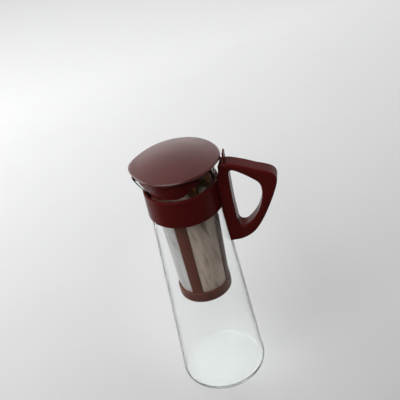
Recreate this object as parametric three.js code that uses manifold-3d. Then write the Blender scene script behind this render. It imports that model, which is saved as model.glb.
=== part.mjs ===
// A cold brew coffee maker: a glass jug with a clamped neck band and loop handle, a lid that lifts off
// and a strainer that lifts out. Millimetres, +Z up. The origin is the centre of the jug's flat base,
// the handle points along +X and the spout along -X.
import * as THREE from 'three';
import { mergeVertices } from 'three/addons/utils/BufferGeometryUtils.js';
import Module from 'manifold-3d';

const wasm = await Module();
wasm.setup();

// Clearances and fineness
const gap = 0.35; // between two pieces that rest on each other or slide
const overrun = 2; // how far a cutter passes the face that it cuts
const roundSegments = 48;
const smallSegments = 20;
const mergeTolerance = 1e-4;

// Jug
const glassWall = 2.2;
const glassFloor = 3.2;
const baseRadius = 49.4; // the widest place, just above the heel
const heelRadius = 9;
const bandTopZ = 264; // the band's upper edge, which the heights round the neck are counted from
const mouthHeight = 20; // the glass above the band
const waistDrop = 12; // the narrow waist that the band grips lies this far below the band's upper edge
const waistRadius = 34.8;
const shoulderDrop = 4; // the shoulder lies this far below the band
const shoulderRadius = 37.9;
const rimRadius = 38.6;

// Spout, pulled out of the mouth just above the band
const spoutReach = 9;
const spoutDip = 7; // how far the glass rim comes down at the spout
const spoutHalfAngle = THREE.MathUtils.degToRad(25);
const spoutCurve = 3; // how early the spout turns outwards

// Neck band, an open ring whose two ears are drawn together inside the handle
const bandHeight = 30.6;
const bandTopReach = 4.2; // how far the band's upper edge stands out of the waist, and then its foot
const bandFootReach = 4.8;
const bandTopRounding = 0.9;
const bandFootRounding = 2;
const bandSplit = 2.4;
const earThickness = 2.2;
const earReach = 8.4; // how far the ears stand out of the band
const earHeight = 22;

// Handle
const handleWidth = 18;
const handleRounding = 2.6;
const handleInner = 37; // the bar's outline starts here, and is cut back so that it follows the glass
const handleOuter = 98;
const handleRise = 19.2; // the handle's top above the band's upper edge
const handleFall = 75; // the handle's foot below the band's upper edge
const glassGap = 1.05; // between the bar and the glass beside it
const rootSetBack = 4.7; // how far the root's top stands off the glass rim
const rootCurve = 2; // how early the root turns away from the glass
const thumbFinSetBack = 4.9; // how far the thumb fin stands behind the root's inner edge
const thumbFinThickness = 1.8;
const thumbFinRise = 10.5;
const thumbFinWidth = 11;

// Clamp screw, its brass insert and the plug that hides it
const screwRadius = 1.5;
const screwHeadRadius = 2.9;
const screwHeadHeight = 2;
const screwRecessWidth = 0.9;
const screwRecessDepth = 1.1;
const insertRadius = 2.7;
const insertLength = 3.2;
const plugRadius = 3.8;
const plugThickness = 1.5;
const clampOffset = 5; // the clamp screw's axis outside the band

// Lid cover
const lidRadius = 44.5;
const lidFrontReach = 3.7;
const lidBackReach = 1.4;
const lidTipHalfAngle = THREE.MathUtils.degToRad(22);
const lidRimThickness = 2;
const lidRimRounding = 0.6;
const lidDomeRise = 7;
const lidWall = 1.8;
const lidLift = 4; // the cover's lower edge above the glass rim
const lidRibWall = 1.8;
const lidRibLength = 5;
const lugLength = 3.4;
const lugWidth = 4;
const lugHeight = 2.4;

// Lid skirt, the plug that sits in the mouth, deep under the spout and shallow at the handle
const skirtWall = 1.8;
const skirtClearance = 0.6;
const skirtFlangeThickness = 1.9;
const skirtNeckRadius = 34.9;
const skirtFootClearance = 1.2; // the deep side's lower edge above the band's upper edge
const skirtShallowShare = 0.24; // the depth at the handle, as a share of the full depth
const skirtTurnStart = THREE.MathUtils.degToRad(92); // counted from the spout
const skirtTurnEnd = THREE.MathUtils.degToRad(150);
const skirtBellyShare = 0.86; // how far the skirt swells into the spout, as a share of the spout's reach
const pourSlotHalfAngle = THREE.MathUtils.degToRad(7.5);

// Strainer
const strainerTopDrop = 2; // the strainer's top below the band's upper edge
const flangeHeight = 5;
const collarHeight = 15; // from the strainer's top to its windows
const windowHeight = 110.8;
const strainerFootHeight = 12.4;
const strainerClearance = 0.8; // between the collar and the glass's waist
const strainerTaper = 3.8; // how much narrower the strainer is at its foot
const footBead = 0.7;
const footRounding = 2.4;
const strainerWall = 1.8;
const strainerFloor = 2;
const ribWidth = 11.6;
const ribCount = 4;
const strainerTurn = THREE.MathUtils.degToRad(-7);
const meshThickness = 0.6;
const meshOverlap = 2; // how far a mesh panel reaches behind the ribs and rings

// Heights and places that follow from the sizes above
const rimZ = bandTopZ + mouthHeight;
const waistZ = bandTopZ - waistDrop;
const bandFootZ = bandTopZ - bandHeight;
const bandTopRadius = waistRadius + bandTopReach;
const bandFootRadius = waistRadius + bandFootReach;
const shoulderZ = bandFootZ - shoulderDrop;
const spoutRootZ = bandTopZ + gap;
const spoutAngle = Math.PI;
const clampZ = bandTopZ - bandHeight / 2;
const clampX = bandTopRadius + clampOffset;
const rootHead = rimRadius + rootSetBack;
const thumbFinRadius = rootHead + thumbFinSetBack;
const lidEdgeZ = rimZ + lidLift;
const strainerTopRadius = waistRadius - glassWall - strainerClearance;
const strainerFootRadius = strainerTopRadius - strainerTaper;
const strainerTopZ = bandTopZ - strainerTopDrop;
const windowTopZ = strainerTopZ - collarHeight;
const windowFootZ = windowTopZ - windowHeight;
const strainerFootZ = windowFootZ - strainerFootHeight;

// Materials
const clearGlass = new THREE.MeshStandardMaterial({
  color: 0xe8efec, roughness: 0.05, metalness: 0, transparent: true, opacity: 0.35,
});
const brownGloss = new THREE.MeshStandardMaterial({ color: 0x4a1c17, roughness: 0.3, metalness: 0 });
const brownSatin = new THREE.MeshStandardMaterial({ color: 0x553029, roughness: 0.5, metalness: 0 });
const brownFrame = new THREE.MeshStandardMaterial({ color: 0x4f3029, roughness: 0.45, metalness: 0 });
const filterMesh = new THREE.MeshStandardMaterial({ color: 0xb4aca4, roughness: 0.85, metalness: 0 });
const steel = new THREE.MeshStandardMaterial({ color: 0xb8b8b8, roughness: 0.3, metalness: 1 });
const brass = new THREE.MeshStandardMaterial({ color: 0xc2a14d, roughness: 0.35, metalness: 1 });

// Small tools

function mix(a, b, t) {
  return a + (b - a) * t;
}

function clamp01(t) {
  return Math.min(1, Math.max(0, t));
}

function ease(t) {
  return t * t * (3 - 2 * t);
}

function point(x, y) {
  return new THREE.Vector2(x, y);
}

// How far an angle lies from another one, from 0 to half a turn.
function angleBetween(a, b) {
  return Math.abs(Math.atan2(Math.sin(a - b), Math.cos(a - b)));
}

// A bell that is 1 at the middle angle and fades to each side.
function bell(angle, middle, halfAngle) {
  return Math.exp(-((angleBetween(angle, middle) / halfAngle) ** 2));
}

// Points of a circular arc, both ends included.
function arc(centreX, centreY, radius, startDegrees, endDegrees, steps) {
  return Array.from({ length: steps + 1 }, (_, i) => {
    const angle = THREE.MathUtils.degToRad(mix(startDegrees, endDegrees, i / steps));
    return point(centreX + radius * Math.cos(angle), centreY + radius * Math.sin(angle));
  });
}

// Evenly spaced heights from one level to another, both ends included.
function levels(startZ, endZ, steps) {
  return Array.from({ length: steps + 1 }, (_, i) => mix(startZ, endZ, i / steps));
}

// Turns a closed geometry into a solid with its faces pointing out.
function solid(geometry) {
  const bare = geometry.clone();
  bare.deleteAttribute('normal');
  bare.deleteAttribute('uv');
  const merged = mergeVertices(bare, mergeTolerance);
  const vertProperties = Float32Array.from(merged.attributes.position.array);
  const corners = Array.from(merged.index.array);
  const triVerts = [];
  let volume = 0;
  for (let i = 0; i < corners.length; i += 3) {
    const [a, b, c] = corners.slice(i, i + 3);
    if (a === b || b === c || c === a) continue;
    triVerts.push(a, b, c);
    const [p, q, r] = [a, b, c].map((v) => new THREE.Vector3().fromArray(vertProperties, v * 3));
    volume += p.dot(q.cross(r));
  }
  if (volume < 0) triVerts.reverse();
  return new wasm.Manifold(
    new wasm.Mesh({ numProp: 3, vertProperties, triVerts: Uint32Array.from(triVerts) }),
  );
}

// Puts a solid's vertices and triangles back into a named mesh.
function piece(name, body, material) {
  const { vertProperties, triVerts, numProp } = body.getMesh();
  const positions = new Float32Array((vertProperties.length / numProp) * 3);
  for (let i = 0; i < positions.length / 3; i += 1) {
    positions.set(vertProperties.subarray(i * numProp, i * numProp + 3), i * 3);
  }
  const geometry = new THREE.BufferGeometry();
  geometry.setAttribute('position', new THREE.BufferAttribute(positions, 3));
  geometry.setIndex(new THREE.BufferAttribute(Uint32Array.from(triVerts), 1));
  geometry.computeVertexNormals();
  const mesh = new THREE.Mesh(geometry, material);
  mesh.name = name;
  return mesh;
}

// A profile of (radius, height) points turned about Z. The warp moves each vertex in cylinder terms.
function turned(profile, warp, segments = roundSegments) {
  const geometry = new THREE.LatheGeometry(profile, segments).rotateX(Math.PI / 2);
  const position = geometry.attributes.position;
  for (let i = 0; warp && i < position.count; i += 1) {
    const [x, y, z] = [position.getX(i), position.getY(i), position.getZ(i)];
    const angle = Math.atan2(y, x);
    const [radius, height] = warp(Math.hypot(x, y), angle, z);
    position.setXYZ(i, radius * Math.cos(angle), radius * Math.sin(angle), height);
  }
  return solid(geometry);
}

function block(lowX, highX, lowY, highY, lowZ, highZ) {
  const geometry = new THREE.BoxGeometry(highX - lowX, highY - lowY, highZ - lowZ);
  return solid(geometry.translate((lowX + highX) / 2, (lowY + highY) / 2, (lowZ + highZ) / 2));
}

// A round pin about the clamp screw's axis, which runs along Y.
function clampPin(radius, lowY, highY) {
  const geometry = new THREE.CylinderGeometry(radius, radius, highY - lowY, smallSegments);
  return solid(geometry.translate(clampX, (lowY + highY) / 2, clampZ));
}

// A slice of a disc between two angles, for cutting windows and panels.
function slice(middle, halfAngle, radius, lowZ, highZ) {
  const shape = new THREE.Shape();
  shape.moveTo(0, 0);
  shape.absarc(0, 0, radius, middle - halfAngle, middle + halfAngle, false);
  shape.lineTo(0, 0);
  const geometry = new THREE.ExtrudeGeometry(shape, {
    depth: highZ - lowZ, bevelEnabled: false, curveSegments: smallSegments,
  });
  return solid(geometry.translate(0, 0, lowZ));
}

// Jug

// The glass's outer radius at a height, before the spout is pulled.
function jugRadius(z) {
  if (z >= waistZ) return mix(waistRadius, rimRadius, ease(clamp01((z - waistZ) / (rimZ - waistZ))));
  if (z >= shoulderZ) return mix(shoulderRadius, waistRadius, ease((z - shoulderZ) / (waistZ - shoulderZ)));
  return mix(baseRadius, shoulderRadius, (z - heelRadius) / (shoulderZ - heelRadius));
}

function spoutShare(z) {
  return clamp01((z - spoutRootZ) / (rimZ - spoutRootZ));
}

// How far the spout stands out of the round mouth at an angle and a height.
function spoutPull(angle, z) {
  return spoutReach * bell(angle, spoutAngle, spoutHalfAngle) * (1 - (1 - spoutShare(z)) ** spoutCurve);
}

// Pulls the spout: outwards early in its height, and down at the rim.
function pullSpout(radius, angle, z) {
  const dip = spoutDip * bell(angle, spoutAngle, spoutHalfAngle) * spoutShare(z) ** 3;
  return [radius + spoutPull(angle, z), z - dip];
}

function jugWallPoints(inset, startZ, endZ, steps) {
  return levels(startZ, endZ, steps).map((z) => point(jugRadius(z) - inset, z));
}

function makeJug() {
  const heelX = baseRadius - heelRadius;
  const lip = glassWall / 2;
  const innerHeel = heelRadius - glassWall;
  const innerHeelZ = glassFloor + innerHeel;
  const profile = [
    point(0, 0),
    ...arc(heelX, heelRadius, heelRadius, -90, 0, 5),
    ...jugWallPoints(0, shoulderZ, waistZ, 5),
    ...jugWallPoints(0, waistZ, spoutRootZ, 3).slice(1),
    ...jugWallPoints(0, spoutRootZ, rimZ - lip, 7).slice(1),
    ...arc(jugRadius(rimZ) - lip, rimZ - lip, lip, 0, 180, 4).slice(1, -1),
    ...jugWallPoints(glassWall, rimZ - lip, spoutRootZ, 7),
    ...jugWallPoints(glassWall, spoutRootZ, waistZ, 3).slice(1),
    ...jugWallPoints(glassWall, waistZ, shoulderZ, 5).slice(1),
    ...arc(jugRadius(innerHeelZ) - glassWall - innerHeel, innerHeelZ, innerHeel, 0, -90, 4),
    point(0, glassFloor),
  ];
  return turned(profile, pullSpout);
}

// Neck band

function makeBand() {
  const footRadiusAt = bandFootRadius - bandFootRounding;
  const profile = [
    point(jugRadius(bandFootZ) + gap, bandFootZ),
    ...arc(footRadiusAt, bandFootZ + bandFootRounding, bandFootRounding, -90, 0, 3),
    ...arc(bandTopRadius - bandTopRounding, bandTopZ - bandTopRounding, bandTopRounding, 0, 90, 3),
    ...jugWallPoints(-gap, bandTopZ, bandFootZ, 8),
  ];
  const ring = turned(profile);
  const earOuter = bandTopRadius + earReach;
  const earInner = bandTopRadius - glassWall / 2;
  const [earFoot, earTop] = [clampZ - earHeight / 2, clampZ + earHeight / 2];
  const [nearY, farY] = [bandSplit / 2, bandSplit / 2 + earThickness];
  return ring
    .subtract(block(0, earOuter, -nearY, nearY, bandFootZ - overrun, bandTopZ + overrun))
    .add(block(earInner, earOuter, nearY, farY, earFoot, earTop))
    .add(block(earInner, earOuter, -farY, -nearY, earFoot, earTop))
    .subtract(clampPin(screwRadius + gap, -farY - overrun, farY + overrun));
}

// Handle

// Outlines of the handle's loop as shares of its reach, from the bar by the glass to the grip's outer
// edge, and of its height, from the foot to the top.
const gripOuterShares = [
  [0, 0], [0.238, 0.01], [0.366, 0.042], [0.508, 0.108], [0.641, 0.222], [0.75, 0.345],
  [0.878, 0.515], [0.972, 0.668], [1, 0.755], [0.958, 0.818], [0.843, 0.862], [0.675, 0.9],
  [0.495, 0.948], [0.295, 0.99], [0.18, 1],
];
const gripInnerShares = [
  [0.234, 0.3], [0.244, 0.222], [0.293, 0.186], [0.39, 0.194], [0.533, 0.286], [0.639, 0.398],
  [0.708, 0.531], [0.728, 0.648], [0.697, 0.728], [0.606, 0.786], [0.473, 0.852], [0.318, 0.912],
  [0.253, 0.898], [0.233, 0.82], [0.226, 0.531], [0.234, 0.3],
];

function handlePoint([reachShare, heightShare]) {
  return point(
    mix(handleInner, handleOuter, reachShare),
    bandTopZ + mix(-handleFall, handleRise, heightShare),
  );
}

function makeHandle() {
  const outline = new THREE.Shape();
  const [foot, bend, ...outer] = gripOuterShares.map(handlePoint);
  const rootTop = bandTopZ + handleRise;
  outline.moveTo(foot.x, foot.y);
  outline.lineTo(bend.x, bend.y);
  outline.splineThru(outer);
  outline.lineTo(handleInner, rootTop);
  outline.lineTo(foot.x, foot.y);
  const opening = new THREE.Path();
  const [start, ...rest] = gripInnerShares.map(handlePoint);
  opening.moveTo(start.x, start.y);
  opening.splineThru(rest);
  outline.holes.push(opening);
  const loop = new THREE.ExtrudeGeometry(outline, {
    depth: handleWidth - 2 * handleRounding,
    bevelThickness: handleRounding,
    bevelSize: handleRounding,
    bevelOffset: -handleRounding,
    bevelSegments: 2,
    curveSegments: 3,
  });
  loop.translate(0, 0, -(handleWidth / 2 - handleRounding)).rotateX(Math.PI / 2);
  const cheek = handleWidth / 2;
  const earSlot = bandSplit / 2 + earThickness + gap;
  const slotReach = bandTopRadius + earReach + gap;
  const slotHalf = earHeight / 2 + gap;
  const plugSeat = cheek - plugThickness;
  const headSeat = plugSeat - gap - screwHeadHeight;
  return solid(loop)
    .add(block(thumbFinRadius, thumbFinRadius + thumbFinThickness, -thumbFinWidth / 2, thumbFinWidth / 2,
      rootTop - overrun, rootTop + thumbFinRise))
    .subtract(neckClearance())
    .subtract(block(0, slotReach, -earSlot, earSlot, clampZ - slotHalf, clampZ + slotHalf))
    .subtract(clampPin(plugRadius + gap, plugSeat - gap, cheek + overrun))
    .subtract(clampPin(screwHeadRadius + gap, headSeat - gap, cheek))
    .subtract(clampPin(screwRadius + gap, 0, cheek))
    .subtract(clampPin(insertRadius + gap, -earSlot - insertLength - gap, 0));
}

// What the handle leaves free: the glass beside its bar, the band, and room round the flared mouth.
function neckClearance() {
  const lowZ = bandTopZ - handleFall - overrun;
  const highZ = bandTopZ + handleRise;
  const bandEnd = bandFootZ - gap;
  const rootFoot = bandTopRadius + gap;
  const root = levels(0, 1, 6).map((share) => point(
    mix(rootFoot, rootHead, 1 - (1 - share) ** rootCurve),
    mix(bandTopZ + gap, highZ, share),
  ));
  const profile = [
    point(0, lowZ),
    point(jugRadius(lowZ) + glassGap, lowZ),
    point(jugRadius(shoulderZ) + glassGap, shoulderZ),
    point(jugRadius(bandEnd) + glassGap, bandEnd),
    point(bandFootRadius + gap, bandEnd),
    ...root,
    point(rootHead, highZ + overrun),
    point(0, highZ + overrun),
  ];
  return turned(profile);
}

// Clamp screw, insert and plug

function makeClampScrew() {
  const headFoot = handleWidth / 2 - plugThickness - gap - screwHeadHeight;
  const headTop = headFoot + screwHeadHeight;
  const tip = -(bandSplit / 2 + earThickness + insertLength);
  const [length, half] = [screwHeadRadius * 1.4, screwRecessWidth / 2];
  const [recessFoot, recessTop] = [headTop - screwRecessDepth, headTop + overrun];
  const across = block(clampX - length / 2, clampX + length / 2, recessFoot, recessTop, clampZ - half, clampZ + half);
  const along = block(clampX - half, clampX + half, recessFoot, recessTop, clampZ - length / 2, clampZ + length / 2);
  return clampPin(screwRadius, tip, headTop)
    .add(clampPin(screwHeadRadius, headFoot, headTop))
    .subtract(across)
    .subtract(along);
}

function makeInsert() {
  const nearY = -(bandSplit / 2 + earThickness + gap);
  return clampPin(insertRadius, nearY - insertLength, nearY)
    .subtract(clampPin(screwRadius + gap, nearY - insertLength - overrun, nearY + overrun));
}

function makePlug() {
  const cheek = handleWidth / 2;
  return clampPin(plugRadius, cheek - plugThickness, cheek);
}

// Lid

// Draws the round lid out to a soft tip over the spout, and a little towards the handle.
function drawLidTips(radius, angle, z) {
  const front = lidFrontReach * bell(angle, spoutAngle, lidTipHalfAngle);
  const back = lidBackReach * bell(angle, spoutAngle + Math.PI, lidTipHalfAngle);
  const share = clamp01((radius - skirtNeckRadius) / (lidRadius - skirtNeckRadius));
  return [radius + (front + back) * share ** 2, z];
}

// The height of the cover's dome over its edge, outside or, with an inset, inside.
function domeHeight(radius, edgeRadius, rise) {
  return rise * (1 - (radius / edgeRadius) ** 2);
}

function makeLidCover() {
  const rimTop = lidEdgeZ + lidRimThickness;
  const domeEdge = lidRadius - lidRimRounding;
  const innerEdge = lidRadius - lidWall;
  const innerRise = lidDomeRise + lidRimThickness - lidWall;
  const ribOuter = skirtNeckRadius - skirtWall - gap;
  const ribInner = ribOuter - lidRibWall;
  const inner = (radius) => lidEdgeZ + domeHeight(radius, innerEdge, innerRise);
  const ribFoot = inner(ribOuter) - lidRibLength;
  const shares = [0.2, 0.4, 0.6, 0.8, 0.92];
  const profile = [
    point(0, inner(0)),
    ...[0.35, 0.7].map((share) => point(ribInner * share, inner(ribInner * share))),
    point(ribInner, inner(ribInner)),
    point(ribInner, ribFoot),
    point(ribOuter, ribFoot),
    point(ribOuter, inner(ribOuter)),
    point((ribOuter + innerEdge) / 2, inner((ribOuter + innerEdge) / 2)),
    point(innerEdge, lidEdgeZ),
    point(lidRadius, lidEdgeZ),
    point(lidRadius, rimTop - lidRimRounding),
    point(domeEdge, rimTop),
    ...shares.toReversed().map((share) => point(domeEdge * share, rimTop + domeHeight(share, 1, lidDomeRise))),
    point(0, rimTop + lidDomeRise),
  ];
  const lugEnd = lidRadius + lidBackReach - lidRimRounding;
  const lug = block(lugEnd - lugLength, lugEnd, -lugWidth / 2, lugWidth / 2, lidEdgeZ - lugHeight, lidEdgeZ + gap);
  return turned(profile, drawLidTips).add(lug);
}

// The skirt's outer radius at a height, which follows the inside of the mouth.
function skirtRadius(z) {
  return jugRadius(z) - glassWall - skirtClearance;
}

// How far the skirt swells into the spout, up to where it draws back in under its flange.
function skirtBelly(angle, z) {
  return skirtBellyShare * spoutPull(angle, z) * (1 - spoutShare(z) ** 4);
}

function makeLidSkirt() {
  const flangeFoot = rimZ + gap;
  const flangeTop = flangeFoot + skirtFlangeThickness;
  const footZ = bandTopZ + skirtFootClearance;
  const neckInner = skirtNeckRadius - skirtWall;
  const neckTop = lidEdgeZ - gap
    + domeHeight(skirtNeckRadius, lidRadius - lidWall, lidDomeRise + lidRimThickness - lidWall);
  const outer = levels(footZ, flangeFoot, 8).map((z) => point(skirtRadius(z), z));
  const inner = levels(flangeFoot, footZ, 8).map((z) => point(skirtRadius(z) - skirtWall, z));
  const profile = [
    ...outer,
    point(rimRadius, flangeFoot),
    point(rimRadius, flangeTop),
    point(skirtNeckRadius, flangeTop),
    point(skirtNeckRadius, neckTop),
    point(neckInner, neckTop),
    point(neckInner, flangeTop),
    ...inner,
    outer[0],
  ];
  const shorten = (radius, angle, z) => {
    if (z >= flangeFoot) return [radius, z];
    const turn = (angleBetween(angle, spoutAngle) - skirtTurnStart) / (skirtTurnEnd - skirtTurnStart);
    const depthShare = mix(1, skirtShallowShare, ease(clamp01(turn)));
    const height = flangeFoot - (flangeFoot - z) * depthShare;
    return [radius + skirtRadius(height) - skirtRadius(z) + skirtBelly(angle, height), height];
  };
  const slotReach = rimRadius + spoutReach;
  return turned(profile, shorten)
    .subtract(slice(spoutAngle, pourSlotHalfAngle, slotReach, footZ - overrun, flangeFoot));
}

// Strainer

// The outer radius of the strainer's tapered wall at a height.
function strainerRadius(z) {
  return mix(strainerFootRadius, strainerTopRadius, (z - strainerFootZ) / (windowTopZ - strainerFootZ));
}

function windowHalfAngle() {
  const pitch = Math.PI / ribCount;
  return pitch - Math.asin(ribWidth / 2 / strainerFootRadius);
}

function windowMiddle(index) {
  return strainerTurn + ((index + 0.5) * 2 * Math.PI) / ribCount;
}

function makeStrainerFrame() {
  const flangeFoot = strainerTopZ - flangeHeight;
  const seat = (z) => jugRadius(z) - glassWall - gap;
  const beadRadius = strainerRadius(windowFootZ) + footBead;
  const roundCentre = beadRadius - footRounding;
  const floorTop = strainerFootZ + strainerFloor;
  const profile = [
    point(0, strainerFootZ),
    ...arc(roundCentre, strainerFootZ + footRounding, footRounding, -90, 0, 3),
    point(beadRadius, windowFootZ - footBead),
    point(strainerRadius(windowFootZ), windowFootZ),
    point(strainerTopRadius, windowTopZ),
    point(strainerTopRadius, flangeFoot),
    point(seat(flangeFoot), flangeFoot),
    point(seat(strainerTopZ), strainerTopZ),
    point(strainerTopRadius - strainerWall, strainerTopZ),
    point(strainerTopRadius - strainerWall, windowTopZ),
    point(strainerRadius(floorTop) - strainerWall, floorTop),
    point(0, floorTop),
  ];
  let frame = turned(profile);
  for (let index = 0; index < ribCount; index += 1) {
    const reach = strainerTopRadius + overrun;
    frame = frame.subtract(slice(windowMiddle(index), windowHalfAngle(), reach, windowFootZ, windowTopZ));
  }
  return frame;
}

function makeMeshPanel(index) {
  const outer = (z) => strainerRadius(z) - strainerWall - gap;
  const [lowZ, highZ] = [windowFootZ - meshOverlap, windowTopZ + meshOverlap];
  const highRadius = Math.min(outer(highZ), strainerTopRadius - strainerWall - gap);
  const profile = [
    point(outer(lowZ), lowZ),
    point(highRadius, highZ),
    point(highRadius - meshThickness, highZ),
    point(outer(lowZ) - meshThickness, lowZ),
    point(outer(lowZ), lowZ),
  ];
  const halfAngle = windowHalfAngle() + meshOverlap / strainerFootRadius;
  return turned(profile).intersect(
    slice(windowMiddle(index), halfAngle, strainerTopRadius, lowZ - overrun, highZ + overrun),
  );
}

// The whole maker

const maker = new THREE.Group();
maker.add(
  piece('glass_jug', makeJug(), clearGlass),
  piece('neck_band', makeBand(), brownGloss),
  piece('handle', makeHandle(), brownGloss),
  piece('clamp_screw', makeClampScrew(), steel),
  piece('clamp_insert', makeInsert(), brass),
  piece('screw_plug', makePlug(), brownGloss),
  piece('lid_cover', makeLidCover(), brownSatin),
  piece('lid_skirt', makeLidSkirt(), brownGloss),
  piece('strainer_frame', makeStrainerFrame(), brownFrame),
);
for (let index = 0; index < ribCount; index += 1) {
  maker.add(piece(`mesh_panel_${index + 1}`, makeMeshPanel(index), filterMesh));
}

export default maker;
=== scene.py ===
"""A cold brew coffee maker on a pale floor: a clear glass jug with a brown neck band and loop handle, a domed
lid, and a mesh strainer that hangs in the jug. Shapes are in millimetres until a mesh is made, and the
materials, the lamps and the camera are in metres."""

import bpy
import numpy as np
from mathutils import Matrix, Vector


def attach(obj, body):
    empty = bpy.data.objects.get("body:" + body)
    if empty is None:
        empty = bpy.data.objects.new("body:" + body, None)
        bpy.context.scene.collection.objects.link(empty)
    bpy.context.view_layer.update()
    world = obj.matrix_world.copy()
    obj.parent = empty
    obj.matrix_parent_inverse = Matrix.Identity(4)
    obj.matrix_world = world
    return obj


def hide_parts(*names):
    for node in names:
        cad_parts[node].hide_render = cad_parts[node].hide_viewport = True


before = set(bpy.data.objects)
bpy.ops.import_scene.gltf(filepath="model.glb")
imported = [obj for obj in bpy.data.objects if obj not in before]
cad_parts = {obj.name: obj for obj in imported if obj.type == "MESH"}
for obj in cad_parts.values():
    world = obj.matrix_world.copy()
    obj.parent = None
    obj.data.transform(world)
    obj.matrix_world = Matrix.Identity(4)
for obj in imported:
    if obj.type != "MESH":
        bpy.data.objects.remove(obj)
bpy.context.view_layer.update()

METRE = 0.001
TINY = 1e-9
SAME_POINT = 1e-6  # two points of a line that lie closer than this are one
SHARP_ANGLE = np.radians(38)  # an edge that bends more than this is shaded sharp
ROUND = 288  # points round a turned piece
GAP = 0.35  # between two pieces that fit together

# Jug
GLASS_WALL, GLASS_FLOOR = 2.2, 3.2
BASE_RADIUS, HEEL_RADIUS = 49.4, 9.0
BAND_TOP = 264.0
RIM, RIM_RADIUS = BAND_TOP + 20, 38.6
WAIST, WAIST_RADIUS = BAND_TOP - 12, 34.8
BAND_FOOT = BAND_TOP - 30.6
SHOULDER, SHOULDER_RADIUS = BAND_FOOT - 4, 37.9
SPOUT_ROOT, SPOUT_REACH, SPOUT_DIP, SPOUT_CURVE = BAND_TOP + GAP, 9.0, 7.0, 3
SPOUT_SPREAD = np.radians(25)

# Neck band and handle
BAND_TOP_RADIUS, BAND_FOOT_RADIUS = 39.0, 39.6
BAND_TOP_ROUNDING, BAND_FOOT_ROUNDING, BAND_INNER_ROUNDING = 0.9, 2.0, 0.4
BAND_SPLIT, EAR_WALL, EAR_REACH, EAR_HEIGHT = 2.4, 2.2, 8.4, 22.0
EAR_SINK, EAR_HOLE = 1.1, 1.85  # how deep an ear starts in the band, and its hole's radius
CLAMP_X, CLAMP_Z = BAND_TOP_RADIUS + 5, BAND_TOP - 15.3
HANDLE_WIDTH, HANDLE_INNER, HANDLE_OUTER = 18.0, 37.0, 98.0
HANDLE_FOOT, HANDLE_TOP = BAND_TOP - 75, BAND_TOP + 19.2
HANDLE_ROUNDING, BAR_ROUNDING, HANDLE_CROWN, GLASS_GAP = 2.3, 0.9, 0.25, 1.05
BAR_FADE, BEND_FADE = 4.0, 7.0  # how far from the glass its rounding and its bend reach into the handle
ROOT_SET_BACK, ROOT_CURVE = 4.7, 2
BAND_STEP = (BAND_FOOT - 1.2, BAND_FOOT - 0.4)  # where the handle's bar steps back for the band
LOOP_CENTRE = np.array([64.0, BAND_TOP - 22])
OUTLINE_SPACING = 0.4
FIN_START, FIN_END, FIN_WIDTH, FIN_SINK, FIN_RISE, FIN_ROUNDING = 48.2, 50.0, 11.0, 2.0, 10.5, 0.85

# Lid
LID_RADIUS, LID_EDGE, LID_RIM, LID_RISE, LID_WALL = 44.5, RIM + 4, 2.0, 7.0, 1.8
LID_FRONT, LID_BACK, LID_SPREAD = 3.7, 1.4, np.radians(22)
BEVEL_WIDTH, LID_FOOT_ROUNDING = 1.1, 0.45
BEVEL_ARCS = (  # each centre's place in from the edge and under the rim's top, the radius, degrees and steps
    (0.2, 1.15, 0.2, 0, 34, 3),
    (3.6, 3.606, 4.4, 36, 54, 8),
)
LID_RING_WALL, LID_RING_DEPTH, LID_RING_CHAMFER = 1.8, 5.0, 0.3
LUG_LENGTH, LUG_WIDTH, LUG_DEPTH, LUG_RISE, LUG_ROUNDING, LUG_SET_BACK = 3.4, 4.0, 2.4, 0.8, 0.5, 0.6
NECK_RADIUS, SKIRT_WALL, SKIRT_BELLY, SKIRT_CURVE, SKIRT_CLEARANCE = 34.9, 1.8, 0.86, 4, 0.6
FLANGE_HEIGHT, FLANGE_ROUNDING, FLANGE_CHAMFER, NECK_CHAMFER, NECK_FOOT_STEP = 1.9, 0.6, 0.4, 0.2, 0.3
SKIRT_FOOT, SKIRT_FOOT_ROUNDING, SKIRT_OVERLAP = BAND_TOP + 1.2, 0.5, 0.4
SKIRT_FULL, SKIRT_FADE, SKIRT_BACK_SHARE = np.radians(92), np.radians(58), 0.24
POUR_SLOT = np.radians(7.5)

# Strainer
STRAINER_TOP = BAND_TOP - 2
WINDOW_TOP = STRAINER_TOP - 15
WINDOW_FOOT = WINDOW_TOP - 110.8
STRAINER_FOOT = WINDOW_FOOT - 12.4
STRAINER_TOP_RADIUS, STRAINER_FOOT_RADIUS, STRAINER_WALL = 31.8, 28.0, 1.8
RIB_WIDTH, RIBS, STRAINER_TURN = 11.6, 4, np.radians(-7)
FLANGE_DEPTH, SEAT_CHAMFER, COLLAR_CHAMFER, COLLAR_ROUNDING = 5.0, 0.4, 0.5, 0.35
BEAD_STEP, BEAD_ROUNDING, CUP_FLOOR, CUP_ROUNDING, CUP_CORNER, CUP_LIP = 0.7, 0.7, 2.0, 2.4, 0.8, 0.4
CUP_SIDE_FOOT, CUP_SIDE_TOP = 3.0, 1.2  # how far in from the cup's foot and top its side is straight
WINDOW_CORNER, RIB_ROUNDING, RIB_SINK, RIB_OVERLAP = 3.0, 0.45, 0.02, 0.6
MESH_THICKNESS, MESH_LAP, MESH_BOW, MESH_FOLD = 0.6, 2.0, 1.25, 0.28
MESH_SIDE_FADE, MESH_END_FADE, MESH_PHASE = 4.5, 6.0, 1.7
MESH_WAVES = (  # each wave's height, its turns across and up the panel in radians, and its share of the phase
    (1.0, 7.0, 2.2, 1),
    (0.7, -4.5, 6.0, 2),
    (0.5, 11.0, -5.0, 3),
)

# Screw's cap
PLUG_RADIUS, PLUG_THICKNESS, PLUG_ROUNDING, PLUG_CHAMFER = 3.8, 1.5, 0.4, 0.2
DISH_RADIUS, DISH_DEPTH, DISH_SLOPE = 2.6, 0.2, 1.2

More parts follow.
